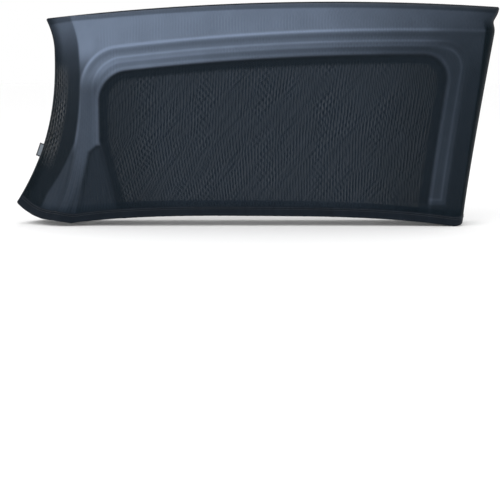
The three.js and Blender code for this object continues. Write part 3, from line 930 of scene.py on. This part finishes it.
def hem_points(panel):
    """The hem's cloth: down the outside, round the elastic and up the inside."""
    out_cells, turn_cells, up_cells = HEM_DOWN
    mouth_x, mouth_y, _ = panel.point(panel.mouth_z, 0.0)
    top_x, top_y, _ = panel.point(panel.mouth_z + HEM, 0.0)
    mouth = np.stack([mouth_x, mouth_y, panel.mouth_z], axis=-1)
    top = np.stack([top_x, top_y, panel.mouth_z + HEM], axis=-1)
    down = mouth - top
    down /= np.linalg.norm(down, axis=-1, keepdims=True)
    along = np.gradient(mouth, axis=0)
    inward = np.cross(along, down) * (-1 if panel.street else 1)
    inward /= np.linalg.norm(inward, axis=-1, keepdims=True)
    rows = []
    for j in range(out_cells):
        t = j / out_cells
        rows.append(mix(top, mouth, t) - inward * HEM_PROUD * math.sin(math.pi * t) ** 0.5)
    for j in range(turn_cells + 1):
        turn = math.pi * j / turn_cells
        reach = inward * (1 - math.cos(turn)) + down * math.sin(turn)
        rows.append(mouth + TURN_RADIUS * reach)
    for j in range(1, up_cells + 1):
        t = j / up_cells
        depth = mix(2 * TURN_RADIUS, CLOTH, smooth((t - 0.8) / 0.2))
        rows.append(mouth + inward * depth - down * HEM * t)
    return np.stack(rows), mouth, top, inward, down


def make_hem(name, panel, node):
    rows, *_ = hem_points(panel)
    piece, *_ = grid_piece(name, rows)
    face_outwards(piece, 1 if panel.street else -1)
    piece.data.materials.append(hem_material(name + "_cloth", piece["uv_span_mm"]))
    shade(piece)
    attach(piece, "root")
    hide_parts(node)
    return piece


cabin = Panel(street=False)
street = Panel(street=True)

cabin_knit = make_panel(
    "cabin_knit", cabin, "inner_mesh_panel",
    lambda span: knit_material(
        "warp_knit_mesh", span, wale=2.9, course=3.3, line_pitch=6.1, lean=0.03,
    ),
)
street_knit = make_panel(
    "street_knit", street, "outer_mesh_panel",
    lambda span: knit_material(
        "warp_knit_mesh_street", span, wale=3.4, course=3.9, line_pitch=7.0, lean=-0.05,
    ),
)
cabin_hem = make_hem("cabin_hem", cabin, "inner_mesh_panel")
street_hem = make_hem("street_hem", street, "outer_mesh_panel")


# Seam, with its overlock thread

def seam_line(step):
    """Points along the seam at an even step: up the left, over the top, down the right."""
    down = np.linspace(1, 0, 600)
    left = np.stack([
        left_seam(down), seam_y(down),
        mix(LEFT_FOOT_RISE + LEFT_HEIGHT, LEFT_FOOT_RISE, down),
    ], axis=-1)
    u = np.linspace(0, 1, 900)
    top_x = mix(LEFT_TOP_X, RIGHT_TOP_X, u)
    top = np.stack([top_x, np.full(len(u), SEAM_DEPTH_TOP), top_z(u)], axis=-1)
    down = down[::-1]
    right = np.stack([
        right_seam(down), seam_y(down), mix(RIGHT_HEIGHT, 0, down),
    ], axis=-1)
    line = np.concatenate([left, top[1:-1], right])
    run = run_along(line)
    even = np.linspace(0, run[-1], int(run[-1] / step) + 1)
    return at_lengths(run, line, even), even


def make_seam():
    line, run = seam_line(THREAD_STEP)
    along = np.gradient(line, axis=0)
    along /= np.linalg.norm(along, axis=1, keepdims=True)
    outward = np.stack([-along[:, 2], np.zeros(len(line)), along[:, 0]], axis=-1)
    outward /= np.linalg.norm(outward, axis=1, keepdims=True)
    depthwise = np.cross(along, outward)
    rings = []
    for k in range(THREAD_SIDES + 1):
        turn = 2 * math.pi * (k % THREAD_SIDES) / THREAD_SIDES
        twist = np.cos(2 * math.pi * run / THREAD_TURN + turn)
        radius = (SEAM_RADIUS - THREAD_RELIEF * (1 - twist) / 2)[:, None]
        centre = line + outward * SEAM_OUT
        rings.append(centre + radius * (outward * math.cos(turn) + depthwise * math.sin(turn)))
    piece, *_ = grid_piece("seam_thread", np.stack(rings), wrap=True)
    make_closed(piece)
    piece.data.materials.append(thread_material("overlock_thread", "#0d1116", "#222a33", 1.6))
    shade(piece, 70)
    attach(piece, "root")
    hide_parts("edge_seam")
    return piece


seam_thread = make_seam()


# Rows of stitches that hold the hem

def make_stitches(name, panel):
    _, mouth, top, inward, _ = hem_points(panel)
    clear_selection()
    bpy.ops.mesh.primitive_cylinder_add(vertices=6, radius=STITCH_THREAD * MM,
                                        depth=STITCH_LENGTH * MM, rotation=(0, math.pi / 2, 0))
    first = bpy.context.object
    bpy.ops.object.transform_apply(location=False, rotation=True, scale=False)
    bpy.ops.object.mode_set(mode="EDIT")
    bpy.ops.mesh.select_all(action="SELECT")
    bpy.ops.mesh.bevel(offset=STITCH_THREAD * MM * 0.5, segments=1)
    bpy.ops.object.mode_set(mode="OBJECT")
    copies = []
    for below in STITCH_ROWS:
        line = mix(top, mouth, below / HEM) - inward * (CLOTH / 2 + STITCH_PROUD)
        run = run_along(line)
        even = np.arange(STITCH_PITCH, run[-1] - STITCH_PITCH, STITCH_PITCH)
        centres = at_lengths(run, line, even)
        ahead = at_lengths(run, line, even + 1)
        for centre, tip in zip(centres, ahead):
            copy = first.copy()
            copy.data = first.data.copy()
            bpy.context.scene.collection.objects.link(copy)
            copy.location = Vector((centre + SHIFT) * MM)
            direction = Vector(tip - centre)
            copy.rotation_euler = direction.to_track_quat("X", "Z").to_euler()
            copies.append(copy)
    clear_selection()
    for copy in copies:
        copy.select_set(True)
    bpy.context.view_layer.objects.active = copies[0]
    bpy.data.objects.remove(first)
    bpy.ops.object.join()
    piece = bpy.context.object
    piece.name = name
    bpy.ops.object.transform_apply(location=True, rotation=True, scale=True)
    piece.data.materials.append(thread_material(name + "_thread", "#0b0e12", "#2a323c", 1.2))
    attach(piece, "root")
    return piece


cabin_stitches = make_stitches("cabin_hem_stitches", cabin)
street_stitches = make_stitches("street_hem_stitches", street)


# Elastic band inside the hem, all the way round the mouth

def elastic_line(panel):
    """Middle of the band inside one panel's hem, with its directions across and down."""
    _, mouth, _, inward, down = hem_points(panel)
    middle = mouth + inward * TURN_RADIUS - down * (ELASTIC_WIDTH / 2 + ELASTIC_LIFT)
    run = run_along(mouth)
    kept = (run > ELASTIC_TURN) & (run < run[-1] - ELASTIC_TURN)
    return middle[kept], inward[kept], down[kept]


def squared(reach):
    """Pushes a round section out towards a rectangle with rounded corners."""
    return math.copysign(abs(reach) ** ELASTIC_CORNER, reach)


def make_elastic():
    front = elastic_line(cabin)
    back = elastic_line(street)
    ring = [np.concatenate([there, home[::-1], there[:1]]) for there, home in zip(front, back)]
    run = run_along(ring[0])
    even = np.linspace(0, run[-1], int(run[-1] / ELASTIC_STEP) + 1)
    middle, inward, down = (at_lengths(run, part, even) for part in ring)
    rib = 1 - ELASTIC_RIB_DEPTH * (1 + np.cos(2 * math.pi * even / ELASTIC_RIB))[:, None]
    rings = []
    for k in range(ELASTIC_SIDES + 1):
        turn = 2 * math.pi * (k % ELASTIC_SIDES) / ELASTIC_SIDES
        across = squared(math.cos(turn)) * ELASTIC_THICK / 2
        along = squared(math.sin(turn)) * ELASTIC_WIDTH / 2
        rings.append(middle + inward * across * rib + down * along)
    piece, *_ = grid_piece("hem_band", np.stack(rings), wrap=True)
    make_closed(piece)
    piece.data.materials.append(elastic_material("woven_elastic", piece["uv_span_mm"]))
    shade(piece, 50)
    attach(piece, "root")
    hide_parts("hem_elastic")
    return piece


hem_band = make_elastic()


# Bare loop label, caught in the left seam

def make_label():
    line, run = seam_line(1)
    start = run[np.argmax(line[:, 2] > LEFT_FOOT_RISE + LABEL_RISE)]
    spine = at_lengths(run, line, start + np.linspace(0, LABEL_LENGTH, 29))
    along = np.gradient(spine, axis=0)
    outward = np.stack([-along[:, 2], np.zeros(len(spine)), along[:, 0]], axis=-1)
    outward /= np.linalg.norm(outward, axis=1, keepdims=True)
    straight = LABEL_REACH - LABEL_HALF
    there = [(straight * k / 8, LABEL_HALF) for k in range(8)]
    fold = [
        (straight + LABEL_HALF * math.sin(math.pi * k / 8), LABEL_HALF * math.cos(math.pi * k / 8))
        for k in range(9)
    ]
    home = [(reach, -side) for reach, side in reversed(there)]
    rows = [
        spine + outward * (SEAM_OUT + reach) + [0, side, 0]
        for reach, side in there + fold + home
    ]
    piece, *_ = grid_piece("loop_label", np.stack(rows))
    cloth = piece.modifiers.new("cloth", "SOLIDIFY")
    cloth.thickness = LABEL_CLOTH * MM
    cloth.offset = 0
    bpy.context.view_layer.objects.active = piece
    bpy.ops.object.modifier_apply(modifier=cloth.name)
    make_closed(piece)
    loop = 2 * straight + math.pi * LABEL_HALF
    piece.data.materials.append(label_material("woven_ribbon", piece["uv_span_mm"], loop))
    shade(piece, 50)
    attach(piece, "root")
    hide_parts("seam_label")
    return piece


loop_label = make_label()

bpy.context.scene.view_settings.view_transform = "Standard"
